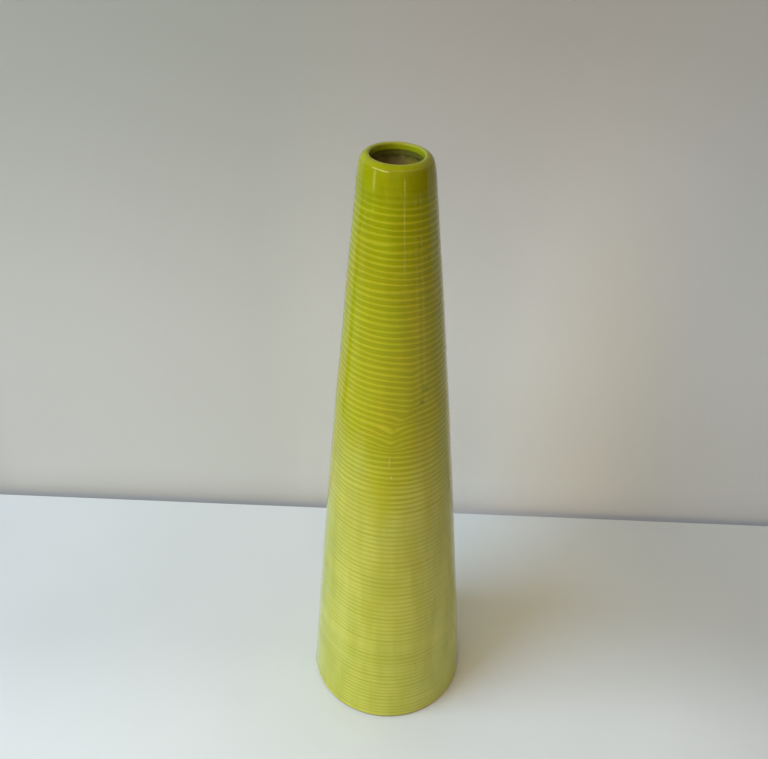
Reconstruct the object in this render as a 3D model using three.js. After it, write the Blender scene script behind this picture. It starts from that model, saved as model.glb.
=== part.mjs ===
import * as THREE from 'three';

// A tall conical vase: one turned clay shell, a coloured glaze fused over its outside, its lip and
// the top of its throat, and a clear lining glaze inside. Millimetres, +Z up. The origin is on the
// axis, level with the foot that the vase stands on.

// Outline of the glazed outside
const HEIGHT = 450; // foot to the crest of the lip
const FOOT_RADIUS = 62; // wall carried down to the foot's level
const NECK_RADIUS = 21.85; // wall carried up to the crest's level
const BELLY = 1.8; // how far the wall bows out of a straight cone, half way up

// Lip and throat
const LIP_OUTER_WIDTH = 4.5; // outer rounding, from the line of the wall in to the crest
const LIP_OUTER_DEPTH = 13.5; // outer rounding, down from the crest
const SHOULDER_DEPTH = 3.7; // where the outer rounding turns in most, down from the crest
const CROWN_WIDTH = 1.4; // last, level stretch of the outer rounding, out from the crest
const LIP_INNER_WIDTH = 1.7; // inner rounding, from the crest in to the throat
const LIP_INNER_DEPTH = 1.7; // inner rounding, down from the crest
const THROAT_DEPTH = 2.3; // straight glazed band below the inner rounding
const LEDGE_DEPTH = 3; // slope from the throat out to the thinner wall under it

// Thicknesses
const WALL = 6; // clay, measured level
const FLOOR = 7;
const GLAZE = 0.5;
const LINING = 0.4;

// Foot
const FOOT_ROUNDING = 1.4; // outer edge that meets the table
const FOOT_WIDTH = 9; // flat ring that the vase stands on
const FOOT_RECESS = 2.5; // hollow turned inside the ring
const RECESS_SLOPE = 2; // how far the ring's inner side leans in
const BARE_BAND = 0.8; // clay left unglazed above that outer edge
const FLOOR_FILLET = 12; // inside corner between wall and floor

// Fineness of the turned surfaces
const SEGMENTS = 64;
const WALL_STEPS = 8;
const LIP_OUTER_STEPS = 4; // in each of the outer rounding's two halves
const LIP_INNER_STEPS = 4;
const ROUNDING_STEPS = 3;
const FILLET_STEPS = 4;

const clayMaterial = new THREE.MeshStandardMaterial({ color: 0xc9a88a, roughness: 0.85, metalness: 0 });
const glazeMaterial = new THREE.MeshStandardMaterial({ color: 0xa3a21c, roughness: 0.12, metalness: 0 });
const liningMaterial = new THREE.MeshStandardMaterial({ color: 0xb79a78, roughness: 0.45, metalness: 0 });

const point = (radius, z) => new THREE.Vector2(radius, z);

function wallRadius(z) {
  const t = z / HEIGHT;
  return THREE.MathUtils.lerp(FOOT_RADIUS, NECK_RADIUS, t) + 4 * BELLY * t * (1 - t);
}

// Points from one level of the wall to another, both ends included.
function wallPoints(fromZ, toZ, steps, inset) {
  const points = [];
  for (let i = 0; i <= steps; i += 1) {
    const z = THREE.MathUtils.lerp(fromZ, toZ, i / steps);
    points.push(point(wallRadius(z) - inset, z));
  }
  return points;
}

// A rounding from one point to another that leaves both along the lines to the corner point.
function rounding(from, corner, to, steps) {
  return new THREE.QuadraticBezierCurve(from, corner, to).getPoints(steps);
}

// Moves each inner point of an open outline sideways, to the right of the way that the outline runs.
// The two end points stay, so that a coat between the outline and its copy thins out to nothing.
function coated(outline, thickness) {
  return outline.map((here, i) => {
    if (i === 0 || i === outline.length - 1) {
      return here.clone();
    }
    const before = here.clone().sub(outline[i - 1]).normalize();
    const after = outline[i + 1].clone().sub(here).normalize();
    const along = before.clone().add(after).normalize();
    const shift = thickness / Math.sqrt((1 + before.dot(after)) / 2);
    return point(here.x + along.y * shift, here.y - along.x * shift);
  });
}

// Turns a profile round the axis.
function turned(profile) {
  return new THREE.LatheGeometry(profile, SEGMENTS).rotateX(Math.PI / 2);
}

// Turns the same profile from its other end, and turns each triangle over to face out again. This
// swaps the diagonals, so that the clay and the coats on it share whole triangles where they meet.
function turnedFromEnd(profile) {
  const geometry = turned([...profile].reverse());
  const corners = geometry.index;
  for (let i = 0; i < corners.count; i += 3) {
    const first = corners.getX(i);
    corners.setX(i, corners.getX(i + 1));
    corners.setX(i + 1, first);
  }
  return geometry;
}

function piece(name, geometry, material) {
  const mesh = new THREE.Mesh(geometry, material);
  mesh.name = name;
  return mesh;
}

// Levels and radii that the pieces share
const lipBase = HEIGHT - LIP_OUTER_DEPTH;
const shoulderTop = HEIGHT - SHOULDER_DEPTH;
const throatTop = HEIGHT - LIP_INNER_DEPTH;
const throatBase = throatTop - THROAT_DEPTH;
const ledgeBase = throatBase - LEDGE_DEPTH;
const crestRadius = NECK_RADIUS - LIP_OUTER_WIDTH;
const throatRadius = crestRadius - LIP_INNER_WIDTH;
const floorTop = FOOT_RECESS + FLOOR;
const bareTop = FOOT_ROUNDING + BARE_BAND;

// Clay under the coloured glaze, from the bare foot up over the lip and down into the throat. It is
// drawn one glaze thickness inside the finished outline.
const shoulder = point(wallRadius(shoulderTop) - GLAZE, shoulderTop);
const crown = point(crestRadius + CROWN_WIDTH, HEIGHT - GLAZE);
const middle = shoulder.clone().lerp(crown, 0.5);
const lipOuter = [
  ...rounding(point(wallRadius(lipBase) - GLAZE, lipBase), shoulder, middle, LIP_OUTER_STEPS),
  ...rounding(middle, crown, point(crestRadius, HEIGHT - GLAZE), LIP_OUTER_STEPS).slice(1),
];
const lipInner = rounding(
  point(crestRadius, HEIGHT - GLAZE),
  point(throatRadius + GLAZE, HEIGHT - GLAZE),
  point(throatRadius + GLAZE, throatTop),
  LIP_INNER_STEPS,
);
const glazedClay = [
  point(wallRadius(bareTop) - GLAZE, bareTop),
  ...wallPoints(bareTop + GLAZE, lipBase, WALL_STEPS, GLAZE),
  ...lipOuter.slice(1),
  ...lipInner.slice(1),
  point(throatRadius + GLAZE, throatBase + GLAZE),
  point(throatRadius + GLAZE, throatBase),
];

// Clay under the lining, from the ledge below the throat down the wall and in to the middle of the
// floor.
const cornerRadius = wallRadius(floorTop) - WALL;
const linedClay = [
  point(wallRadius(ledgeBase) - WALL, ledgeBase),
  ...wallPoints(ledgeBase - LINING, floorTop + FLOOR_FILLET, WALL_STEPS, WALL),
  ...rounding(
    point(wallRadius(floorTop + FLOOR_FILLET) - WALL, floorTop + FLOOR_FILLET),
    point(cornerRadius, floorTop),
    point(cornerRadius - FLOOR_FILLET, floorTop),
    FILLET_STEPS,
  ).slice(1),
  point(0, floorTop),
];

// Underside: a recess turned inside the ring that the vase stands on, and the bare outer edge.
const footEdge = FOOT_RADIUS - GLAZE;
const ringInside = footEdge - FOOT_ROUNDING - FOOT_WIDTH;
const bareFoot = [
  point(0, FOOT_RECESS),
  point(ringInside - RECESS_SLOPE, FOOT_RECESS),
  point(ringInside, 0),
  ...rounding(
    point(footEdge - FOOT_ROUNDING, 0),
    point(footEdge, 0),
    point(wallRadius(FOOT_ROUNDING) - GLAZE, FOOT_ROUNDING),
    ROUNDING_STEPS,
  ),
];

function clayBody() {
  return piece('clay_body', turnedFromEnd([...bareFoot, ...glazedClay, ...linedClay]), clayMaterial);
}

function limeGlaze() {
  const surface = coated(glazedClay, GLAZE);
  const back = [...glazedClay].reverse();
  return piece('lime_glaze', turned([...surface, ...back.slice(1)]), glazeMaterial);
}

function liningGlaze() {
  const surface = coated(linedClay, LINING);
  surface[surface.length - 1] = point(0, floorTop + LINING);
  const back = [...linedClay].reverse();
  return piece('lining_glaze', turned([...back, ...surface.slice(1)]), liningMaterial);
}

const vase = new THREE.Group();
vase.add(clayBody());
vase.add(limeGlaze());
vase.add(liningGlaze());

export default vase;
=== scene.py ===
import math

import bmesh
import bpy
import numpy as np
from mathutils import Matrix, Vector


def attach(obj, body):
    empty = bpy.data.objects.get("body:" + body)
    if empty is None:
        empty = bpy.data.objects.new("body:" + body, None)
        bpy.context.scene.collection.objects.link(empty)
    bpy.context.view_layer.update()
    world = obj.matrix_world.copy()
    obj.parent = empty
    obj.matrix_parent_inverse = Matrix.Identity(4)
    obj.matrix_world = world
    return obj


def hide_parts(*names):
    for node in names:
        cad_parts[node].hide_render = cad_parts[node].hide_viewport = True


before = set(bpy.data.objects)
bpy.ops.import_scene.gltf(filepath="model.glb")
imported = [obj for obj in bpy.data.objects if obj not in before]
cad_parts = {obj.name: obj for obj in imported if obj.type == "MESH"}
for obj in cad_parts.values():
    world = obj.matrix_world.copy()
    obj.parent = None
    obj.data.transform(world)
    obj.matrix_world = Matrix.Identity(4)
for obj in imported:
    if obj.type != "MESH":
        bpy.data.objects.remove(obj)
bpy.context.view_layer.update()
bpy.ops.object.select_all(action="DESELECT")

MM = 0.001

# Outline of the vase, as it is turned: metres, +Z up, the axis at the origin. A turn is 0 at the
# front and grows towards +X.
HEIGHT = 450 * MM
FOOT_RADIUS = 62 * MM
NECK_RADIUS = 21.85 * MM
BELLY = 1.8 * MM
LIP_OUTER_WIDTH = 4.5 * MM
LIP_OUTER_DEPTH = 13.5 * MM
SHOULDER_DEPTH = 3.7 * MM
CROWN_WIDTH = 1.4 * MM
LIP_INNER_WIDTH = 1.7 * MM
LIP_INNER_DEPTH = 1.7 * MM
THROAT_DEPTH = 2.3 * MM
LEDGE_DEPTH = 3 * MM
WALL = 6 * MM
FLOOR = 7 * MM
GLAZE = 0.5 * MM
LINING = 0.4 * MM
FOOT_ROUNDING = 1.4 * MM
FOOT_WIDTH = 9 * MM
FOOT_RECESS = 2.5 * MM
RECESS_SLOPE = 2 * MM
BARE_BAND = 0.8 * MM
FLOOR_FILLET = 12 * MM

LIP_BASE = HEIGHT - LIP_OUTER_DEPTH
SHOULDER_TOP = HEIGHT - SHOULDER_DEPTH
THROAT_TOP = HEIGHT - LIP_INNER_DEPTH
THROAT_BASE = THROAT_TOP - THROAT_DEPTH
LEDGE_BASE = THROAT_BASE - LEDGE_DEPTH
CREST_RADIUS = NECK_RADIUS - LIP_OUTER_WIDTH
THROAT_RADIUS = CREST_RADIUS - LIP_INNER_WIDTH
FLOOR_TOP = FOOT_RECESS + FLOOR
BARE_TOP = FOOT_ROUNDING + BARE_BAND

# Throwing rings: one spiral groove that winds up the wall
RING_PITCH_LOW = 3.85 * MM
RING_PITCH_HIGH = 4.3 * MM
GROOVE_DEPTH = 0.045 * MM
RING_WANDER = 0.11
RING_DOUBLING = 0.14
RING_STRENGTH = 0.78
RING_UNEVENNESS = 0.16
LEAST_STRENGTH = 0.2
RINGS_FADE_FROM = 0.938 * HEIGHT
RINGS_FADE_TO = 0.99 * HEIGHT
SMOOTH_BAND = 0.178 * HEIGHT
SMOOTH_BAND_WIDTH = 0.012 * HEIGHT
SMOOTH_BAND_LOSS = 0.6
FAINT_SIDE = math.radians(60)
FAINT_SIDE_WIDTH = math.radians(50)
FAINT_SIDE_FROM = 0.5 * HEIGHT
FAINT_SIDE_TO = 0.7 * HEIGHT
FAINT_SIDE_LOSS = 0.35

# The wall's slight swelling, and how it dies out towards the lip
SWELL_DEPTH = 0.3 * MM
SWELL_FADE = 12 * MM
FOOT_FADE = 3 * MM

# The fold where the glaze slipped and drew the rings down, in shares of the height and in degrees
SAG_DEPTH = 5 * MM
FOLD_STARTS = (0.576, 0.6)
FOLD_EASES = (0.61, 0.66)
FOLD_EASING = 0.55
FOLD_ENDS = (0.7, 0.76)
FOLD_LEANS = (0.61, 0.67)
FOLD_LEAN = 20
FOLD_LEFT_WIDTH = 15
FOLD_RIGHT_WIDTH = 10
FOLD_SHARPNESS = 1.3
FOLD_WAVE = 11 * MM
FOLD_WAVE_SHARE = 0.2

# The rim came off the wheel a little lower in front and to the right
RIM_DIP = 2.0 * MM
RIM_DIP_TURN = math.radians(45)
RIM_DIP_FROM = 410 * MM

# Fineness of the turned pieces
TURN_STEPS = 128
ROWS_PER_RING = 6
COVERED_STEPS = 8
GLAZE_STEPS = 16
INNER_STEPS = 10
ROLL_STEPS = 4
FOOT_STEPS = 6
RECESS_CUTS = 60


def wall_radius(z):
    t = z / HEIGHT
    return FOOT_RADIUS + (NECK_RADIUS - FOOT_RADIUS) * t + 4 * BELLY * t * (1 - t)


def rounding(start, corner, end, steps):
    """Points of a curve that leaves start and reaches end along the lines to the corner."""
    ends = (start, corner, end)
    points = []
    for i in range(steps + 1):
        t = i / steps
        weights = ((1 - t) ** 2, 2 * t * (1 - t), t * t)
        points.append(tuple(sum(w * p[k] for w, p in zip(weights, ends)) for k in (0, 1)))
    return points


def wall_points(from_z, to_z, steps, inset):
    levels = [from_z + (to_z - from_z) * i / steps for i in range(steps + 1)]
    return [(wall_radius(z) - inset, z) for z in levels]


# Turning: a profile is drawn beside the axis, then spun round it


def draw_profile(name, points):
    """A chain of edges through points of radius and height, drawn by extruding one corner."""
    bpy.ops.mesh.primitive_plane_add(size=MM)
    piece = bpy.context.object
    piece.name = name
    piece.data.name = name
    bpy.ops.object.mode_set(mode="EDIT")
    bpy.ops.mesh.merge(type="CENTER")
    here = Vector((0, 0, 0))
    for i, (radius, z) in enumerate(points):
        step = Vector((radius, 0, z)) - here
        if i == 0:
            bpy.ops.transform.translate(value=step)
        else:
            bpy.ops.mesh.extrude_region_move(TRANSFORM_OT_translate={"value": step})
        here += step
    return piece


def select_edges(piece, chosen):
    """Selects the edges whose middle point the rule takes."""
    bpy.ops.mesh.select_all(action="DESELECT")
    bpy.ops.mesh.select_mode(type="EDGE")
    shape = bmesh.from_edit_mesh(piece.data)
    for edge in shape.edges:
        middle = (edge.verts[0].co + edge.verts[1].co) / 2
        edge.select_set(chosen(middle))
    shape.select_flush_mode()
    bmesh.update_edit_mesh(piece.data)


def spin_round(piece):
    """Spins the drawn profile into a closed, smooth body with its faces pointing out."""
    bpy.ops.mesh.select_mode(type="VERT")
    bpy.ops.mesh.select_all(action="SELECT")
    bpy.ops.mesh.spin(steps=TURN_STEPS, angle=2 * math.pi, center=(0, 0, 0), axis=(0, 0, 1))
    bpy.ops.mesh.select_all(action="SELECT")
    bpy.ops.mesh.remove_doubles(threshold=0.001 * MM)
    bpy.ops.mesh.normals_make_consistent(inside=False)
    bpy.ops.object.mode_set(mode="OBJECT")
    bpy.ops.object.shade_smooth()


def places(piece):
    """Radius, height and turn of every point; turn 0 is the front and it grows towards +X."""
    flat = np.empty(3 * len(piece.data.vertices))
    piece.data.vertices.foreach_get("co", flat)
    x, y, z = flat.reshape(-1, 3).T
    return np.hypot(x, y), z, np.arctan2(x, -y)


def press_in(piece, group, weights, depth, direction="NORMAL"):
    """Paints a weight group and pushes the surface in, or down along an axis, up to the depth."""
    painted = piece.vertex_groups.new(name=group)
    for i, weight in enumerate(weights):
        if weight > 0:
            painted.add([i], float(weight), "REPLACE")
    bpy.context.view_layer.objects.active = piece
    pressed = piece.modifiers.new(group, "DISPLACE")
    pressed.vertex_group = group
    pressed.direction = direction
    pressed.mid_level = 0
    pressed.strength = -depth
    bpy.ops.object.modifier_apply(modifier=pressed.name)


def dip_rim(piece):
    """Sinks the side of the rim that is lower, and the other side not at all."""
    radius, z, turn = places(piece)
    aside = 0.5 + 0.5 * radius / NECK_RADIUS * np.cos(turn - RIM_DIP_TURN)
    rise = np.clip((z - RIM_DIP_FROM) / (HEIGHT - RIM_DIP_FROM), 0, 1)
    press_in(piece, "dip", np.clip(aside, 0, 1) * rise, RIM_DIP, "Z")


# Unevenness of hand work, as sums of waves that meet up again after a full turn

chance = np.random.default_rng(7)


def waves(z, turn, count, shortest, longest, most_lobes):
    """A smooth uneven field from about -1 to 1 over height and turn."""
    total = np.zeros_like(z)
    for _ in range(count):
        length = shortest * (longest / shortest) ** chance.random()
        lobes = chance.integers(0, most_lobes + 1)
        start = 2 * math.pi * chance.random()
        total += np.sin(2 * math.pi * z / length + lobes * turn + start)
    return total / math.sqrt(count)


def ease(value, low, high):
    t = np.clip((value - low) / (high - low), 0, 1)
    return t * t * (3 - 2 * t)


def bump(value, middle, width):
    return np.exp(-(((value - middle) / width) ** 2))


def sag(z, turn):
    """How far the rings run down in the fold where the glaze slipped, in front and to the right."""
    share = z / HEIGHT
    aside = np.degrees(turn) - FOLD_LEAN * ease(share, *FOLD_LEANS)
    width = np.where(aside < 0, FOLD_LEFT_WIDTH, FOLD_RIGHT_WIDTH)
    fold = np.exp(-((np.abs(aside) / width) ** FOLD_SHARPNESS))
    level = ease(share, *FOLD_STARTS) * (1 - FOLD_EASING * ease(share, *FOLD_EASES))
    level *= 1 + FOLD_WAVE_SHARE * np.sin(2 * math.pi * z / FOLD_WAVE + 2 * turn)
    return SAG_DEPTH * level * (1 - ease(share, *FOLD_ENDS)) * fold


def grooves(z, turn):
    """Depth of the spiral groove, 0 on its ridges and 1 in its bed."""
    slope = (RING_PITCH_HIGH - RING_PITCH_LOW) / HEIGHT
    wound = np.log1p(slope * (z + sag(z, turn)) / RING_PITCH_LOW) / slope
    wander = RING_WANDER * waves(z, turn, 9, 9 * MM, 60 * MM, 3)
    phase = 2 * math.pi * (wound + wander) + turn
    doubled = RING_DOUBLING * waves(z, turn, 7, 12 * MM, 50 * MM, 3)
    bed = 0.5 - 0.5 * np.cos(phase) + doubled * np.cos(2 * phase)
    strength = RING_STRENGTH + RING_UNEVENNESS * waves(z, turn, 14, 6 * MM, 40 * MM, 5)
    smooth = 1 - SMOOTH_BAND_LOSS * bump(z, SMOOTH_BAND, SMOOTH_BAND_WIDTH)
    below = 1 - ease(z, FAINT_SIDE_FROM, FAINT_SIDE_TO)
    faint = 1 - FAINT_SIDE_LOSS * bump(turn, FAINT_SIDE, FAINT_SIDE_WIDTH) * below
    fade = faint * (1 - ease(z, RINGS_FADE_FROM, RINGS_FADE_TO))
    return np.clip(strength, LEAST_STRENGTH, 1) * smooth * fade * np.clip(bed, 0, 1)


# Pieces


def outer_rounding(inset, steps):
    """The lip's outside: over the shoulder, then level to the crest."""
    start = (wall_radius(LIP_BASE) - inset, LIP_BASE)
    shoulder = (wall_radius(SHOULDER_TOP) - inset, SHOULDER_TOP)
    crown = (CREST_RADIUS + CROWN_WIDTH, HEIGHT - inset)
    middle = ((shoulder[0] + crown[0]) / 2, (shoulder[1] + crown[1]) / 2)
    crest = (CREST_RADIUS, HEIGHT - inset)
    return [*rounding(start, shoulder, middle, steps), *rounding(middle, crown, crest, steps)[1:]]


def clay_outline():
    """The clay under the coloured glaze, from the bare foot over the lip into the throat."""
    throat = (THROAT_RADIUS + GLAZE, THROAT_TOP)
    outer = outer_rounding(GLAZE, COVERED_STEPS)
    inner = rounding(outer[-1], (throat[0], outer[-1][1]), throat, COVERED_STEPS)
    return [
        *wall_points(BARE_TOP, LIP_BASE, COVERED_STEPS, GLAZE),
        *outer[1:],
        *inner[1:],
        (throat[0], THROAT_BASE),
    ]


def floor_fillet(inset):
    """The inside corner between wall and floor, moved in from the clay."""
    corner = wall_radius(FLOOR_TOP) - WALL - inset
    return rounding(
        (wall_radius(FLOOR_TOP + FLOOR_FILLET) - WALL - inset, FLOOR_TOP + FLOOR_FILLET),
        (corner, FLOOR_TOP + inset),
        (corner - FLOOR_FILLET, FLOOR_TOP + inset),
        COVERED_STEPS,
    )


def lining_outline():
    """The clay under the lining, from the ledge down the wall and in to the middle of the floor."""
    return [
        *wall_points(LEDGE_BASE, FLOOR_TOP + FLOOR_FILLET, COVERED_STEPS, WALL),
        *floor_fillet(0)[1:],
        (0, FLOOR_TOP),
    ]


def make_clay():
    edge = FOOT_RADIUS - GLAZE
    ring_inside = edge - FOOT_ROUNDING - FOOT_WIDTH
    rounded = rounding(
        (edge - FOOT_ROUNDING, 0),
        (edge, 0),
        (wall_radius(FOOT_ROUNDING) - GLAZE, FOOT_ROUNDING),
        FOOT_STEPS,
    )
    underside = [(0, FOOT_RECESS), (ring_inside - RECESS_SLOPE, FOOT_RECESS), (ring_inside, 0)]
    piece = draw_profile("clay_shell", [*underside, *rounded, *clay_outline(), *lining_outline()])
    select_edges(piece, lambda p: abs(p.z - FOOT_RECESS) < 0.1 * MM)
    bpy.ops.mesh.subdivide(number_cuts=RECESS_CUTS)
    spin_round(piece)
    dip_rim(piece)
    return piece


def glaze_profile():
    """The coat's surface, rolled in at both ends, and its back against the clay."""
    throat = (THROAT_RADIUS, THROAT_TOP)
    lower_roll = rounding(
        (wall_radius(BARE_TOP) - GLAZE, BARE_TOP),
        (wall_radius(BARE_TOP), BARE_TOP),
        (wall_radius(BARE_TOP + GLAZE), BARE_TOP + GLAZE),
        ROLL_STEPS,
    )
    wall = wall_points(BARE_TOP + GLAZE, LIP_BASE, GLAZE_STEPS, 0)
    outer = outer_rounding(0, GLAZE_STEPS)
    inner = rounding(outer[-1], (THROAT_RADIUS, HEIGHT), throat, INNER_STEPS)
    inner_roll = rounding(
        (THROAT_RADIUS, THROAT_BASE + GLAZE),
        (THROAT_RADIUS, THROAT_BASE),
        (THROAT_RADIUS + GLAZE, THROAT_BASE),
        ROLL_STEPS,
    )
    back = clay_outline()[::-1]
    return [*lower_roll, *wall[1:], *outer[1:], *inner[1:], *inner_roll, *back[1:]]


def on_glazed_wall(p):
    outside = wall_radius(p.z) - GLAZE / 2
    return BARE_TOP + GLAZE < p.z < LIP_BASE and math.hypot(p.x, p.y) > outside


def make_glaze():
    piece = draw_profile("glaze_coat", glaze_profile())
    rings = (LIP_BASE - BARE_TOP) / ((RING_PITCH_LOW + RING_PITCH_HIGH) / 2)
    select_edges(piece, on_glazed_wall)
    bpy.ops.mesh.subdivide(number_cuts=round(rings * ROWS_PER_RING / GLAZE_STEPS) - 1)
    spin_round(piece)
    radius, z, turn = places(piece)
    surface = radius > wall_radius(z) - GLAZE / 2
    foot = ease(z, BARE_TOP, BARE_TOP + FOOT_FADE)
    press_in(piece, "groove", grooves(z, turn) * surface * foot, GROOVE_DEPTH)
    swell = 0.5 + 0.3 * waves(z, turn, 6, 40 * MM, 160 * MM, 3)
    fade = foot * (1 - ease(z, LIP_BASE - SWELL_FADE, LIP_BASE))
    press_in(piece, "swell", np.clip(swell, 0, 1) * surface * fade, SWELL_DEPTH)
    dip_rim(piece)
    return piece


def make_lining():
    outline = lining_outline()
    front = [(radius - LINING, z) for radius, z in outline[1 : COVERED_STEPS + 1]]
    back = outline[::-1]
    middle = (0, FLOOR_TOP + LINING)
    piece = draw_profile("lining_coat", [*back, *front, *floor_fillet(LINING)[1:], middle])
    spin_round(piece)
    dip_rim(piece)
    return piece


# Materials


def paint(red, green, blue):
    """A colour as it is seen, 0 to 255, in the linear values that a shader takes."""
    def straight(c):
        c = c / 255
        return c / 12.92 if c <= 0.04045 else ((c + 0.055) / 1.055) ** 2.4

    return (straight(red), straight(green), straight(blue), 1)


class Value:
    """A number that a shader works out. Arithmetic on it adds Math nodes."""

    def __init__(self, finish, socket):
        self.finish = finish
        self.socket = socket

    def math(self, operation, *operands):
        settings = {"operation": operation}
        return self.finish.node("ShaderNodeMath", settings, dict(enumerate(operands)))

    def __add__(self, other):
        return self.math("ADD", self, other)

    def __sub__(self, other):
        return self.math("SUBTRACT", self, other)

    def __rsub__(self, other):
        return self.math("SUBTRACT", other, self)

    def __mul__(self, other):
        return self.math("MULTIPLY", self, other)

    __radd__ = __add__
    __rmul__ = __mul__

    def ramp(self, low, high):
        """From 0 to 1 in a straight line between two values."""
        return self.finish.node(
            "ShaderNodeMapRange", inputs={"Value": self, "From Min": low, "From Max": high}
        )

    def ease(self, low, high, to_low=0.0, to_high=1.0):
        """From one value to another, slow at both ends."""
        return self.finish.node(
            "ShaderNodeMapRange",
            {"interpolation_type": "SMOOTHSTEP"},
            {"Value": self, "From Min": low, "From Max": high, "To Min": to_low, "To Max": to_high},
        )


class Finish:
    """One material, or the light of the room, built node by node."""

    def __init__(self, owner):
        owner.use_nodes = True
        self.owner = owner
        self.tree = owner.node_tree
        self.tree.nodes.clear()

    def node(self, kind, settings=None, inputs=None, output=0):
        """Adds a node: its settings first, then the values or links of its sockets."""
        made = self.tree.nodes.new(kind)
        for name, value in (settings or {}).items():
            setattr(made, name, value)
        for name, value in (inputs or {}).items():
            socket = made.inputs[name]
            if isinstance(value, Value):
                self.tree.links.new(value.socket, socket)
            else:
                socket.default_value = value
        return Value(self, made.outputs[output])

    def place(self):
        return self.node("ShaderNodeTexCoord", output="Object")

    def stretched(self, scale):
        """Object coordinates, closer together along the axes with a larger scale."""
        return self.node("ShaderNodeMapping", inputs={"Vector": self.place(), "Scale": scale})

    def noise(self, size, stretch=(1, 1, 1), detail=3.0, roughness=0.5):
        """Noise of about that size in metres, stretched along each axis."""
        inputs = {
            "Vector": self.stretched(tuple(1 / (size * s) for s in stretch)),
            "Scale": 1.0,
            "Detail": detail,
            "Roughness": roughness,
        }
        return self.node("ShaderNodeTexNoise", {"normalize": True}, inputs)

    def along(self, axis):
        """Where a point lies along X, Y or Z."""
        return self.node("ShaderNodeSeparateXYZ", inputs={0: self.place()}, output=axis)

    def height(self):
        """Height over the table, as a share of the vase's."""
        return self.along("Z") * (1 / HEIGHT)

    def radius(self):
        """Distance from the vase's axis."""
        flat = self.stretched((1, 1, 0))
        return self.node("ShaderNodeVectorMath", {"operation": "LENGTH"}, {0: flat}, output="Value")

    def spot(self, turn, level, size, tall=1.0):
        """A soft mark on the wall: its turn in degrees, its share of the height, its radius."""
        z = level * HEIGHT
        angle = math.radians(turn)
        middle = (wall_radius(z) * math.sin(angle), -wall_radius(z) * math.cos(angle), z / tall)
        away = self.node(
            "ShaderNodeVectorMath",
            {"operation": "DISTANCE"},
            {0: self.stretched((1, 1, 1 / tall)), 1: middle},
            output="Value",
        )
        return away.ease(0.4 * size, size, 1.0, 0.0)

    def shaded_glaze_run(self):
        """Where a thin run of the coloured glaze goes on below its edge in the mouth, painted dark
        there as shade.
        """
        return (self.height() + 0.03 * self.noise(6 * MM, (1, 1, 2.5))).ease(0.985, 1.0)

    def scaled(self, colour, factor):
        return self.node(
            "ShaderNodeVectorMath", {"operation": "SCALE"}, {0: colour, "Scale": factor}
        )

    def mix(self, share, first, second):
        """Goes from the first colour to the second."""
        return self.node(
            "ShaderNodeMix", {"data_type": "RGBA"}, {0: share, 6: first, 7: second}, output=2
        )

    def bump(self, height, distance, strength=1.0):
        return self.node(
            "ShaderNodeBump", inputs={"Height": height, "Distance": distance, "Strength": strength}
        )

    def finish(self, **inputs):
        """Ends in a Principled shader with these sockets."""
        named = {name.replace("_", " "): value for name, value in inputs.items()}
        shader = self.node("ShaderNodeBsdfPrincipled", inputs=named)
        return self.end(shader)

    def end(self, shader, kind="ShaderNodeOutputMaterial"):
        ending = self.tree.nodes.new(kind)
        self.tree.links.new(shader.socket, ending.inputs["Surface"])
        return self.owner


def finish_for(name):
    return Finish(bpy.data.materials.new(name))


# Colours in linear values. The glaze is thin enough on the upper ridges and on edges to let the
# clay through; the pale, bluish tint on the lower ridges is a painted reflection.
# LIP, TOP and MIDDLE darken towards the lip: painted shade for the weaker light on the upper wall.
LIME_LIP = (0.27, 0.28, 0.002, 1)
LIME_TOP = (0.335, 0.342, 0.002, 1)
LIME_MIDDLE = (0.47, 0.456, 0.003, 1)
LIME_LOW = (0.48, 0.487, 0.003, 1)
LIME_FOOT = (0.465, 0.484, 0.007, 1)
LIME_GREENER = (0.38, 0.45, 0.006, 1)
LIME_OCHRE_AND_REFLECTION = (0.5, 0.4, 0.004, 1)
LIME_POOL = (0.2, 0.31, 0.0, 1)
LIME_CREST = (0.64, 0.56, 0.06, 1)
RIDGE_REFLECTION_TINT = (0.8, 0.82, 0.4, 1)
LIME_THROAT = (0.2, 0.25, 0.006, 1)
LIME_PALE = (0.62, 0.62, 0.12, 1)
LIME_CLEAR = (0.46, 0.47, 0.001, 1)
LIME_DARK = (0.17, 0.25, 0.01, 1)
# Dark where a glaze run goes on into the mouth: painted shade for its dim inside.
LIME_RUN_IN_SHADE = (0.12, 0.12, 0.012, 1)
FOOT_STAIN_AND_SHADE = (0.24, 0.24, 0.03, 1)
THIN_GLAZE = (0.58, 0.5, 0.14, 1)
CLAY_PALE = paint(206, 180, 152)
CLAY_DEEP = paint(196, 164, 134)
CLAY_SPECK = paint(150, 118, 92)
LINING_PALE = (0.33, 0.24, 0.1, 1)
LINING_DEEP = (0.29, 0.21, 0.085, 1)
LINING_OLIVE = (0.33, 0.27, 0.03, 1)
LINING_SPECK = (0.18, 0.13, 0.06, 1)

# Levels between which the glaze changes from the lower wall's to the upper wall's, and to the lip's
UPPER_WALL = (0.4, 0.6)
LIP_TURNS_DARK = (0.935, 0.965)
LIP_TURNS_PLAIN = (0.93, 0.965)

# Radii of the crease round the crown
CREASE_FROM = (CREST_RADIUS + 2.9 * MM, CREST_RADIUS + 3.3 * MM)
CREASE_TO = (CREST_RADIUS + 3.4 * MM, CREST_RADIUS + 3.9 * MM)
CROWN_EDGE = (CREST_RADIUS + 3.1 * MM, CREST_RADIUS + 3.8 * MM)

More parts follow.
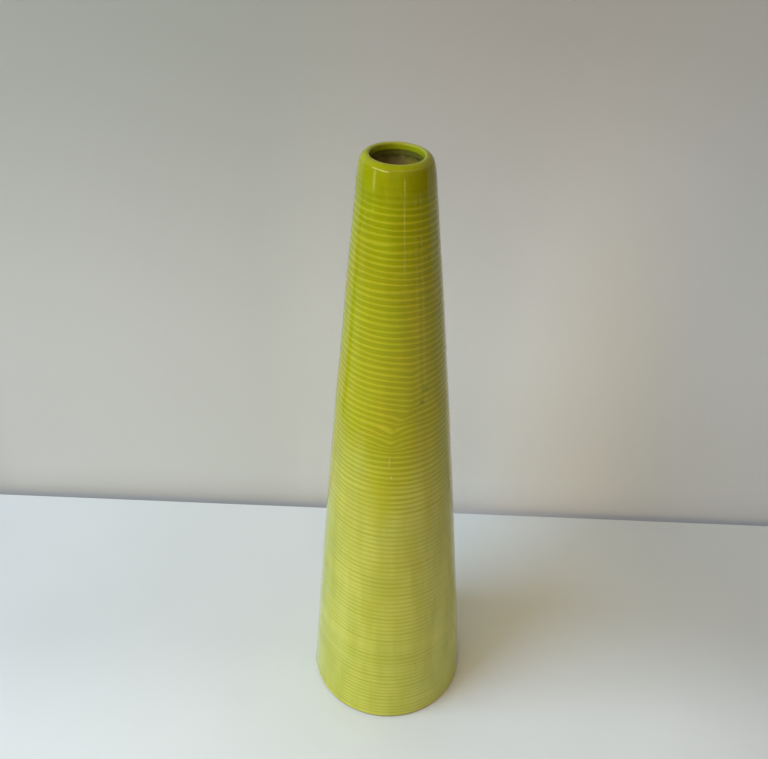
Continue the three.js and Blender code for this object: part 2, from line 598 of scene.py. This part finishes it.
# Soft marks: turn in degrees, share of the height, radius, height over width, strength, colour
GLAZE_MARKS = (
    # A painted reflection of the pale board: a tall, faint pale streak low on the left front.
    (-40, 0.22, 9 * MM, 12, 0.22, LIME_PALE),
    (-12, 0.49, 13 * MM, 2.4, 0.45, LIME_CLEAR),
    (-1.5, 0.567, 0.8 * MM, 14, 0.35, LIME_PALE),
    (0.6, 0.539, 1.1 * MM, 1, 1, LIME_PALE),
    (35, 0.682, 3.2 * MM, 1, 0.45, LIME_DARK),
    (31, 0.662, 2.6 * MM, 0.7, 0.7, LIME_DARK),
    (32.3, 0.893, 0.9 * MM, 1, 0.7, LIME_DARK),
)


def glaze_tone(made, cloud):
    """The glaze's colour from foot to lip, darker towards the lip as painted shade, with cooler
    clouds, warmer patches and a painted warm reflection.
    """
    level = made.height()
    rim = made.mix(level.ease(*LIP_TURNS_DARK), LIME_TOP, LIME_LIP)
    upper = made.mix(level.ramp(0.5, 0.95), LIME_MIDDLE, rim)
    lower = made.mix(level.ramp(0.25, 0.5), LIME_LOW, upper)
    whole = made.mix(level.ramp(0.05, 0.25), LIME_FOOT, lower)
    cooler = made.mix(cloud.ease(0.4, 0.7, 0.02, 0.4), whole, LIME_GREENER)
    warm = made.noise(22 * MM, (1, 1, 2.2)).ease(0.5, 0.7) * level.ease(0.45, 0.6, 0.0, 0.4)
    # A painted warm reflection: a soft ochre patch on the front of the upper wall. The warm noise
    # patches above are the glaze's own colour.
    warm_reflection = made.spot(-22, 0.665, 16 * MM, 2) * 0.12
    return made.mix(warm + warm_reflection, cooler, LIME_OCHRE_AND_REFLECTION)


def ringed_glaze(made, tone):
    """Darker and greener where the glaze pools in the groove, paler where it is thin on an upper
    ridge, with painted shade to the right and a painted reflection on the lower ridges.
    """
    level = made.height()
    groove = made.node("ShaderNodeAttribute", {"attribute_name": "groove"}, output="Fac")
    runs = made.noise(9 * MM, (1, 1, 7), 2.0)
    streak = made.noise(1.2 * MM, (14, 14, 1), 2.0)
    lip = level.ease(*LIP_TURNS_PLAIN)
    full = level.ease(*UPPER_WALL, 1.0, 0.5)
    pooled = groove.ease(0.0, full) * runs.ease(0.2, 0.8, 0.7, 1.0)
    crest = (1 - pooled).ease(0.55, 0.95) * level.ease(*UPPER_WALL, 0.0, 0.11) * (1 - lip)
    lost = pooled * level.ease(*UPPER_WALL, 0.26, 0.15)
    # Painted shade: the lower wall darker towards the right, away from the window.
    right_side_shade = made.along("X").ease(10 * MM, 35 * MM) * level.ease(0.45, 0.6, 0.09, 0.0)
    uneven = runs.ease(0.25, 0.75, -0.06, 0.06) + streak.ease(0.3, 0.7, -0.03, 0.03)
    shade = level.ease(*UPPER_WALL, 1.05, 1.03) - lost + crest * 0.6 + lip * 0.05 - right_side_shade + uneven
    # Painted reflection: a pale, bluish veil on the ridges of the lower wall.
    ridge_reflection = (1 - pooled) * level.ease(0.44, 0.62, 0.12, 0.0) * runs.ease(0.3, 0.7, 0.6, 1.4)
    deep = made.mix(pooled * level.ease(*UPPER_WALL, 0.0, 0.14), tone, LIME_POOL)
    buffed = made.mix(crest * 1.3, deep, LIME_CREST)
    return made.mix(ridge_reflection, made.scaled(buffed, shade), RIDGE_REFLECTION_TINT)


def glaze_at_mouth(made, ringed):
    """Darker and greener in the throat as painted shade, brighter on the crown as painted light,
    and thin at the crease and at the inner edge.
    """
    radius = made.radius()
    # Painted shade inside the throat: darker and greener down the inner rounding.
    inside = radius.ease(THROAT_RADIUS + 0.4 * MM, CREST_RADIUS, 0.6, 0.0)
    throat = made.mix(inside, ringed, LIME_THROAT)
    # Painted light on the crown's upward face: its colour made twelve per cent brighter.
    crown = radius.ease(*CROWN_EDGE, 1.12, 1.0)
    edge = radius.ease(CREST_RADIUS - 0.6 * MM, CREST_RADIUS - 0.2 * MM, 0.35, 0.0)
    edge = edge * radius.ease(THROAT_RADIUS + 0.2 * MM, THROAT_RADIUS + 0.6 * MM)
    crease = radius.ease(*CREASE_FROM) * radius.ease(*CREASE_TO, 0.2, 0.0)
    light_and_shade = edge + crease * made.along("X").ease(-10 * MM, 6 * MM, 0.2, 1.0)
    return made.mix(light_and_shade, made.scaled(throat, crown), THIN_GLAZE)


def lime_glaze():
    made = finish_for("lime_glaze")
    cloud = made.noise(28 * MM, (1, 1, 1.6))
    colour = glaze_at_mouth(made, ringed_glaze(made, glaze_tone(made, cloud)))
    for turn, level, size, tall, strength, tint in GLAZE_MARKS:
        colour = made.mix(made.spot(turn, level, size, tall) * strength, colour, tint)
    ripple = made.noise(1.6 * MM, (1, 1, 1), 2.0)
    return made.finish(
        Base_Color=colour,
        Roughness=cloud.ease(0.3, 0.7, 0.08, 0.13),
        Normal=made.bump(ripple, 0.01 * MM),
    )


def fired_clay():
    made = finish_for("fired_clay")
    grain = made.noise(0.7 * MM, detail=4.0)
    cloud = made.noise(20 * MM)
    body = made.mix(cloud.ease(0.35, 0.65), CLAY_PALE, CLAY_DEEP)
    speckled = made.mix(grain.ease(0.62, 0.72), body, CLAY_SPECK)
    # The foot's outer edge, darker towards the left: partly a glaze stain, partly a painted contact
    # shadow.
    outside = made.radius().ease(FOOT_RADIUS - 3.5 * MM, FOOT_RADIUS - 2 * MM)
    foot = outside * made.along("Z").ease(3 * MM, 5 * MM, 1.0, 0.0)
    stain_and_contact_shade = foot * made.along("X").ease(15 * MM, 40 * MM, 0.8, 0.3)
    stained_and_shaded = made.mix(stain_and_contact_shade, speckled, FOOT_STAIN_AND_SHADE)
    return made.finish(
        Base_Color=made.mix(made.shaded_glaze_run(), stained_and_shaded, LIME_RUN_IN_SHADE),
        Roughness=grain.ease(0.2, 0.8, 0.78, 0.92),
        Normal=made.bump(grain, 0.05 * MM),
    )


def lining_glaze():
    made = finish_for("lining_glaze")
    cloud = made.noise(14 * MM)
    grain = made.noise(0.9 * MM, detail=4.0)
    buff = made.mix(cloud.ease(0.3, 0.7), LINING_PALE, LINING_DEEP)
    # More olive towards +X, the side the window lights: painted green bounce light from the glaze
    # inside the mouth.
    body = made.mix(made.along("X").ease(-2 * MM, 10 * MM), buff, LINING_OLIVE)
    speckled = made.mix(grain.ease(0.64, 0.74), body, LINING_SPECK)
    return made.finish(
        Base_Color=made.mix(made.shaded_glaze_run(), speckled, LIME_RUN_IN_SHADE),
        Roughness=cloud.ease(0.3, 0.7, 0.4, 0.55),
        Normal=made.bump(grain, 0.02 * MM),
    )


def dress(piece, material, node):
    piece.data.materials.clear()
    piece.data.materials.append(material)
    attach(piece, "root")
    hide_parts(node)


# Camera, floor, backdrop and light

CAMERA_DISTANCE = 1.0055 * HEIGHT
CAMERA_HEIGHT = 1.3535 * HEIGHT
CAMERA_PITCH = math.radians(34.936)
CAMERA_YAW = math.radians(-0.73)
CAMERA_ROLL = math.radians(-0.747)
PHOTO_WIDTH = 768
FOCAL_PIXELS = 820
SENSOR = 36


def make_camera():
    lens = bpy.data.cameras.new("camera")
    lens.sensor_width = SENSOR
    lens.lens = FOCAL_PIXELS * SENSOR / PHOTO_WIDTH
    lens.clip_start = 0.01
    camera = bpy.data.objects.new("camera", lens)
    bpy.context.scene.collection.objects.link(camera)
    ahead = Vector(
        (
            math.sin(CAMERA_YAW) * math.cos(CAMERA_PITCH),
            math.cos(CAMERA_YAW) * math.cos(CAMERA_PITCH),
            -math.sin(CAMERA_PITCH),
        )
    )
    level = Vector((math.cos(CAMERA_YAW), -math.sin(CAMERA_YAW), 0))
    down = ahead.cross(level)
    right = math.cos(CAMERA_ROLL) * level + math.sin(CAMERA_ROLL) * down
    up = -(math.cos(CAMERA_ROLL) * down - math.sin(CAMERA_ROLL) * level)
    turned = Matrix((right, up, -ahead)).transposed().to_4x4()
    camera.matrix_world = Matrix.Translation((0, -CAMERA_DISTANCE, CAMERA_HEIGHT)) @ turned
    bpy.context.scene.camera = camera


BOARD_FRONT = 0.345
BOARD_BACK = 0.178
BOARD_HALF_WIDTH = 0.45
BOARD_TURN = math.radians(-1.6)
BOARD_PALE = paint(233, 236, 231)
BOARD_DEEP = paint(228, 231, 226)
BACKDROP_GAP = 0.012
BACKDROP_HEIGHT = 1.3
BACKDROP_FOOT = -0.2
BACKDROP_HALF_WIDTH = 1.6
BACKDROP_LOW_LEFT = paint(206, 208, 204)
BACKDROP_LOW_BESIDE = paint(239, 237, 231)
BACKDROP_LOW_RIGHT = paint(212, 217, 221)
BACKDROP_HIGH_LEFT = paint(168, 172, 164)
BACKDROP_HIGH_BESIDE = paint(173, 170, 163)
BACKDROP_HIGH_RIGHT = paint(177, 178, 172)


def flat_sheet(name, width, depth, middle):
    """A rectangle drawn flat, then moved so that its middle lies there."""
    bpy.ops.mesh.primitive_plane_add(size=1)
    sheet = bpy.context.object
    sheet.name = name
    bpy.ops.object.mode_set(mode="EDIT")
    bpy.ops.mesh.select_all(action="SELECT")
    bpy.ops.transform.resize(value=(width, depth, 1))
    bpy.ops.transform.translate(value=middle)
    bpy.ops.object.mode_set(mode="OBJECT")
    return sheet


def turn_sheet(angle, axis):
    """Turns the sheet that was drawn last about the origin."""
    bpy.ops.object.mode_set(mode="EDIT")
    bpy.ops.mesh.select_all(action="SELECT")
    bpy.ops.transform.rotate(value=angle, orient_axis=axis, center_override=(0, 0, 0))
    bpy.ops.object.mode_set(mode="OBJECT")


def make_board():
    """The pale board that the vase stands on. The dark beyond its front edge shows in the glaze."""
    depth = BOARD_FRONT + BOARD_BACK
    middle = (0, (BOARD_BACK - BOARD_FRONT) / 2, 0)
    board = flat_sheet("floor", 2 * BOARD_HALF_WIDTH, depth, middle)
    turn_sheet(-BOARD_TURN, "Z")
    made = finish_for("floor_paint")
    tone = made.mix(made.noise(0.25).ease(0.3, 0.7), BOARD_PALE, BOARD_DEEP)
    x, y = made.along("X"), made.along("Y")
    # Painted shadow: darker towards the right and the back.
    shaded = (x + 0.5 * y).ease(0.15, 0.35, 1.0, 0.88)
    # Painted light: paler towards the front.
    light_and_shade = y.ease(-0.11, 0.03, 1.15, 0.97) * shaded
    board.data.materials.append(made.finish(Base_Color=made.scaled(tone, light_and_shade), Roughness=0.16))


def backdrop_tone(made):
    """Painted light and shade: paler low down, paler beside the vase where its shadow falls, a
    little darker at the very foot, and dark far to the left, out of the picture.
    """
    level = made.height()
    x = made.along("X")
    right = x.ease(-0.1, 0.12)
    # Painted light beside the vase, against the shadow that it casts on the wall.
    beside = x.ease(-0.14, 0.06) * x.ease(0.1, 0.3, 1.0, 0.0)
    low = made.mix(right, BACKDROP_LOW_LEFT, BACKDROP_LOW_RIGHT)
    low = made.mix(beside, low, BACKDROP_LOW_BESIDE)
    high = made.mix(right, BACKDROP_HIGH_LEFT, BACKDROP_HIGH_RIGHT)
    high = made.mix(beside, high, BACKDROP_HIGH_BESIDE)
    plain = made.mix(level.ease(0.35, 1.25), low, high)
    # Painted shade at the wall's foot and far to the left.
    dimmed = level.ease(0.0, 0.09, 0.95, 1.0) * x.ease(-0.72, -0.38, 0.06, 1.0)
    return made.scaled(plain, dimmed)


def make_backdrop():
    """A plain wall behind the board, clear from its back so that it never hides the vase."""
    middle = (0, BACKDROP_HEIGHT / 2 + BACKDROP_FOOT, 0)
    wall = flat_sheet("backdrop", 2 * BACKDROP_HALF_WIDTH, BACKDROP_HEIGHT, middle)
    turn_sheet(-math.pi / 2, "X")
    bpy.ops.object.mode_set(mode="EDIT")
    bpy.ops.mesh.select_all(action="SELECT")
    bpy.ops.transform.translate(value=(0, BOARD_BACK + BACKDROP_GAP, 0))
    bpy.ops.object.mode_set(mode="OBJECT")
    turn_sheet(-BOARD_TURN, "Z")
    made = finish_for("backdrop_paint")
    inputs = {"Base Color": backdrop_tone(made), "Roughness": 0.8}
    painted = made.node("ShaderNodeBsdfPrincipled", inputs=inputs)
    clear = made.node("ShaderNodeBsdfTransparent")
    behind = made.node("ShaderNodeNewGeometry", output="Backfacing")
    both = made.node("ShaderNodeMixShader", inputs={0: behind, 1: painted, 2: clear})
    wall.data.materials.append(made.end(both))


KEY_COLOUR = (0.575, 0.73, 1.0)
FILL_COLOUR = (1.0, 0.79, 0.5)
STRIP_DISTANCE = 1.5
STRIP_AIM = 0.93
STRIP_COLOUR = (1.0, 1.0, 0.55)
# Name, turn in degrees, lower and upper end in metres, width in metres, brightness
STRIPS = (
    ("left_glow", -88, -0.55, 0.02, 0.4, 0.25),
    ("left_strip", -64.5, 0.11, 0.8, 0.19, 2.2),
    ("left_faint_strip", -27.4, 0.13, 0.18, 0.06, 1.0),
    ("middle_strip", 23.3, 0.13, 0.5, 0.06, 3.0),
    ("middle_faint_strip", 23.3, -0.07, 0.13, 0.06, 1.2),
    ("right_strip", 53, -0.45, 0.06, 0.09, 0.5),
    ("right_faint_strip", 69, -0.45, 0.06, 0.11, 0.5),
)
# Name, turn, rise, distance, width, height, watts, level that it faces, spread in degrees
FILL_LIGHTS = (
    ("room_light", -15, 30, 1.9, 1.6, 1.2, 8.5, 0.5, 180),
    ("low_light", -15, 5, 1.9, 1.6, 1.0, 6.0, 0.5, 180),
    ("ceiling_light", -15, 90, 1.6, 1.2, 1.2, 2.4, 0.5, 180),
    ("right_light", 100, 0, 0.8, 0.3, 0.12, 0.034, 0.15, 36),
)
KEY_TURN = -67
KEY_RISE = 34
KEY_DISTANCE = 2.4
KEY_WIDTH = 1.7
KEY_HEIGHT = 1.1
KEY_POWER = 58
SHINE_COLOUR = (1.0, 1.0, 0.45)
SHINE_TURN = -53
SHINE_DISTANCE = 2.3
SHINE_WIDTH = 2.2
SHINE_HEIGHT = 0.42
SHINE_POWER = 18
ROOM_ABOVE = (0.155, 0.123, 0.082, 1)
ROOM_BELOW = (0.012, 0.011, 0.01, 1)
ROOM_FLOOR = (0.33, 0.31, 0.3, 1)
ROOM_SEEN = paint(186, 185, 180)


def soft_light(name, turn, rise, distance, width, height, power, colour, aim=0.5):
    """A rectangular lamp that faces the vase at a share of its height; angles in degrees."""
    lamp = bpy.data.lights.new(name, "AREA")
    lamp.shape = "RECTANGLE"
    lamp.size = width
    lamp.size_y = height
    lamp.energy = power
    lamp.color = colour
    stand = bpy.data.objects.new(name, lamp)
    bpy.context.scene.collection.objects.link(stand)
    turn, rise = math.radians(turn), math.radians(rise)
    towards = Vector(
        (math.sin(turn) * math.cos(rise), -math.cos(turn) * math.cos(rise), math.sin(rise))
    )
    stand.location = towards * distance + Vector((0, 0, aim * HEIGHT))
    stand.rotation_mode = "QUATERNION"
    stand.rotation_quaternion = towards.to_track_quat("Z", "Y")
    stand.visible_camera = False
    return stand


def thin_light(name, turn, low, high, width, brightness):
    """An upright lamp between two heights that shows as a pale line in the glaze."""
    drop = (low + high) / 2 - STRIP_AIM * HEIGHT
    away = math.hypot(STRIP_DISTANCE, drop)
    rise = math.degrees(math.atan2(drop, STRIP_DISTANCE))
    power = brightness * math.pi * width * (high - low)
    soft_light(name, turn, rise, away, width, high - low, power, STRIP_COLOUR, STRIP_AIM)


def make_lamps():
    """A window to the left with its own shine, soft fill light, and lines of light in the glaze."""
    key = (KEY_DISTANCE, KEY_WIDTH, KEY_HEIGHT, KEY_POWER, KEY_COLOUR)
    window = soft_light("window_light", KEY_TURN, KEY_RISE, *key)
    window.visible_glossy = False
    glint = (SHINE_DISTANCE, SHINE_WIDTH, SHINE_HEIGHT, SHINE_POWER, SHINE_COLOUR)
    shine = soft_light("window_shine", SHINE_TURN, KEY_RISE, *glint)
    shine.visible_diffuse = False
    for name, turn, rise, distance, width, height, power, aim, spread in FILL_LIGHTS:
        fill = soft_light(name, turn, rise, distance, width, height, power, FILL_COLOUR, aim)
        fill.data.spread = math.radians(spread)
        fill.visible_glossy = False
    for name, turn, low, high, width, brightness in STRIPS:
        thin_light(name, turn, low, high, width, brightness)


def make_room():
    """Dim and warm above, dark past the board's edge, with a paler floor further down."""
    world = bpy.data.worlds.new("studio")
    bpy.context.scene.world = world
    made = Finish(world)
    place = made.node("ShaderNodeTexCoord", output="Generated")
    rise = made.node("ShaderNodeSeparateXYZ", inputs={0: place}, output="Z")
    below = made.mix(rise.ease(-0.18, -0.42), ROOM_BELOW, ROOM_FLOOR)
    room = made.mix(rise.ease(-0.05, 0.3), below, ROOM_ABOVE)
    seen = made.node("ShaderNodeLightPath", output="Is Camera Ray")
    shown = made.mix(seen, room, ROOM_SEEN)
    background = made.node("ShaderNodeBackground", inputs={"Color": shown})
    made.end(background, "ShaderNodeOutputWorld")


make_camera()
dress(make_clay(), fired_clay(), "clay_body")
dress(make_glaze(), lime_glaze(), "lime_glaze")
dress(make_lining(), lining_glaze(), "lining_glaze")
make_board()
make_backdrop()
make_lamps()
make_room()
bpy.context.scene.view_settings.view_transform = "Standard"
